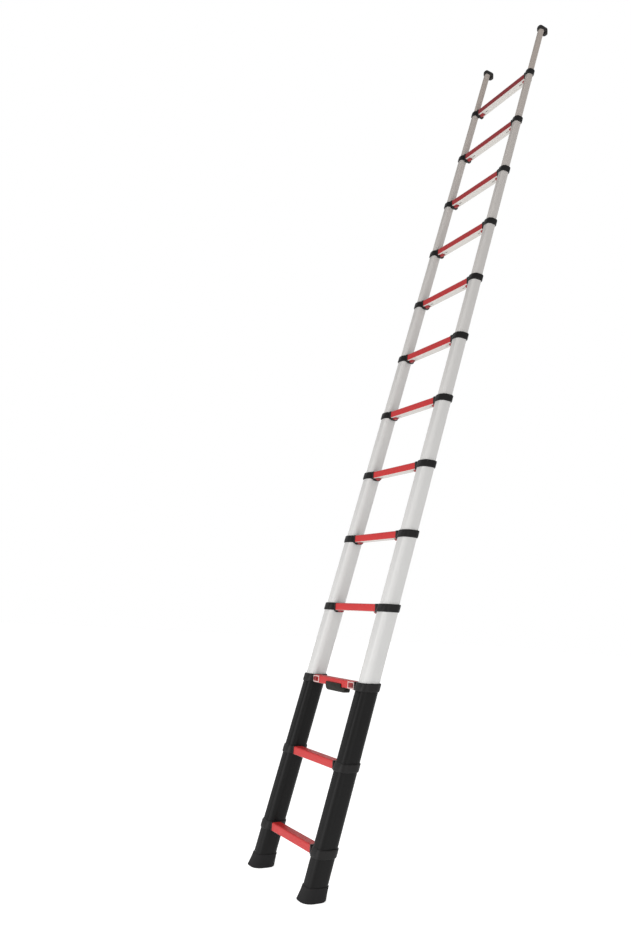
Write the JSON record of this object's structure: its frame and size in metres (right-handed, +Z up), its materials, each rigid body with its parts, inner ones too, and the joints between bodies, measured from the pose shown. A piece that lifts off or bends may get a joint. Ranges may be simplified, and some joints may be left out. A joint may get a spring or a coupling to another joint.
{
  "type": "telescoping ladder",
  "caption": "Telescoping leaning ladder with nested tubular stiles, flat level treads, black locking collars, release buttons, rubber feet and wall caps.",
  "frame": {"origin": "on the floor, midway between the two stiles where their axes meet the floor", "axes": "+X to the climber's right along the rungs, +Y from the climber towards the wall, +Z up; the stiles lean 15 degrees from the vertical towards +Y"},
  "size_m": [0.473, 1.1254, 3.8917],
  "materials": {
    "silver_tube": "satin anodised, fine lengthwise extrusion lines",
    "black_tube": "satin black anodised",
    "red_rung": "satin red powder coat on a bare aluminium underside",
    "black_plastic": "moulded, matt",
    "pale_plastic": "moulded, satin",
    "red_plastic": "moulded, satin",
    "grip_plastic": "moulded, fine texture",
    "foot_rubber": "moulded rubber, matt",
    "cap_rubber": "moulded rubber, matt",
    "pin_steel": "turned steel"
  },
  "bodies": {
    "base": {"base_tube_left": "black_tube", "foot_left": "foot_rubber", "collar_01_left": "black_plastic", "collar_02_left": "black_plastic", "collar_03_left": "black_plastic", "button_frame_left": "pale_plastic", "base_tube_right": "black_tube", "foot_right": "foot_rubber", "collar_01_right": "black_plastic", "collar_02_right": "black_plastic", "collar_03_right": "black_plastic", "button_frame_right": "pale_plastic", "rung_01": "red_rung", "rung_02": "red_rung", "rung_03": "red_rung", "hand_grip": "grip_plastic"},
    "release_left": {"release_button_left": "red_plastic", "lock_pin_left": "pin_steel"},
    "release_right": {"release_button_right": "red_plastic", "lock_pin_right": "pin_steel"},
    "section_04": {"rung_04": "red_rung", "tube_04_left": "silver_tube", "tube_04_right": "silver_tube"},
    "section_05": {"rung_05": "red_rung", "tube_05_left": "silver_tube", "tube_05_right": "silver_tube"},
    "section_06": {"rung_06": "red_rung", "tube_06_left": "silver_tube", "tube_06_right": "silver_tube"},
    "section_07": {"rung_07": "red_rung", "tube_07_left": "silver_tube", "tube_07_right": "silver_tube"},
    "section_08": {"rung_08": "red_rung", "tube_08_left": "silver_tube", "tube_08_right": "silver_tube"},
    "section_09": {"rung_09": "red_rung", "tube_09_left": "silver_tube", "tube_09_right": "silver_tube"},
    "section_10": {"rung_10": "red_rung", "tube_10_left": "silver_tube", "tube_10_right": "silver_tube"},
    "section_11": {"rung_11": "red_rung", "tube_11_left": "silver_tube", "tube_11_right": "silver_tube"},
    "section_12": {"rung_12": "red_rung", "tube_12_left": "silver_tube", "tube_12_right": "silver_tube"},
    "section_13": {"rung_13": "red_rung", "tube_13_left": "silver_tube", "tube_13_right": "silver_tube"},
    "top_left": {"top_tube_left": "silver_tube", "top_cap_left": "cap_rubber"},
    "top_right": {"top_tube_right": "silver_tube", "top_cap_right": "cap_rubber"}
  },
  "joints": [
    {"name": "section_04_slide", "type": "slide", "parent": "base", "child": "section_04", "axis": [0, 0.2588, 0.9659], "range_m": [-0.258, 0]},
    {"name": "section_05_slide", "type": "slide", "parent": "section_04", "child": "section_05", "axis": [0, 0.2588, 0.9659], "range_m": [-0.258, 0]},
    {"name": "section_06_slide", "type": "slide", "parent": "section_05", "child": "section_06", "axis": [0, 0.2588, 0.9659], "range_m": [-0.258, 0]},
    {"name": "section_07_slide", "type": "slide", "parent": "section_06", "child": "section_07", "axis": [0, 0.2588, 0.9659], "range_m": [-0.258, 0]},
    {"name": "section_08_slide", "type": "slide", "parent": "section_07", "child": "section_08", "axis": [0, 0.2588, 0.9659], "range_m": [-0.258, 0]},
    {"name": "section_09_slide", "type": "slide", "parent": "section_08", "child": "section_09", "axis": [0, 0.2588, 0.9659], "range_m": [-0.258, 0]},
    {"name": "section_10_slide", "type": "slide", "parent": "section_09", "child": "section_10", "axis": [0, 0.2588, 0.9659], "range_m": [-0.258, 0]},
    {"name": "section_11_slide", "type": "slide", "parent": "section_10", "child": "section_11", "axis": [0, 0.2588, 0.9659], "range_m": [-0.258, 0]},
    {"name": "section_12_slide", "type": "slide", "parent": "section_11", "child": "section_12", "axis": [0, 0.2588, 0.9659], "range_m": [-0.258, 0]},
    {"name": "section_13_slide", "type": "slide", "parent": "section_12", "child": "section_13", "axis": [0, 0.2588, 0.9659], "range_m": [-0.258, 0]},
    {"name": "top_left_slide", "type": "slide", "parent": "section_13", "child": "top_left", "axis": [0, 0.2588, 0.9659], "range_m": [-0.244, 0]},
    {"name": "top_right_slide", "type": "slide", "parent": "section_13", "child": "top_right", "axis": [0, 0.2588, 0.9659], "range_m": [-0.244, 0]},
    {"name": "release_left_slide", "type": "slide", "parent": "base", "child": "release_left", "axis": [1, 0, 0], "range_m": [0, 0.008], "stiffness_N_per_m": 300, "springref_m": -0.004},
    {"name": "release_right_slide", "type": "slide", "parent": "base", "child": "release_right", "axis": [-1, 0, 0], "range_m": [0, 0.008], "stiffness_N_per_m": 300, "springref_m": -0.004}
  ]
}
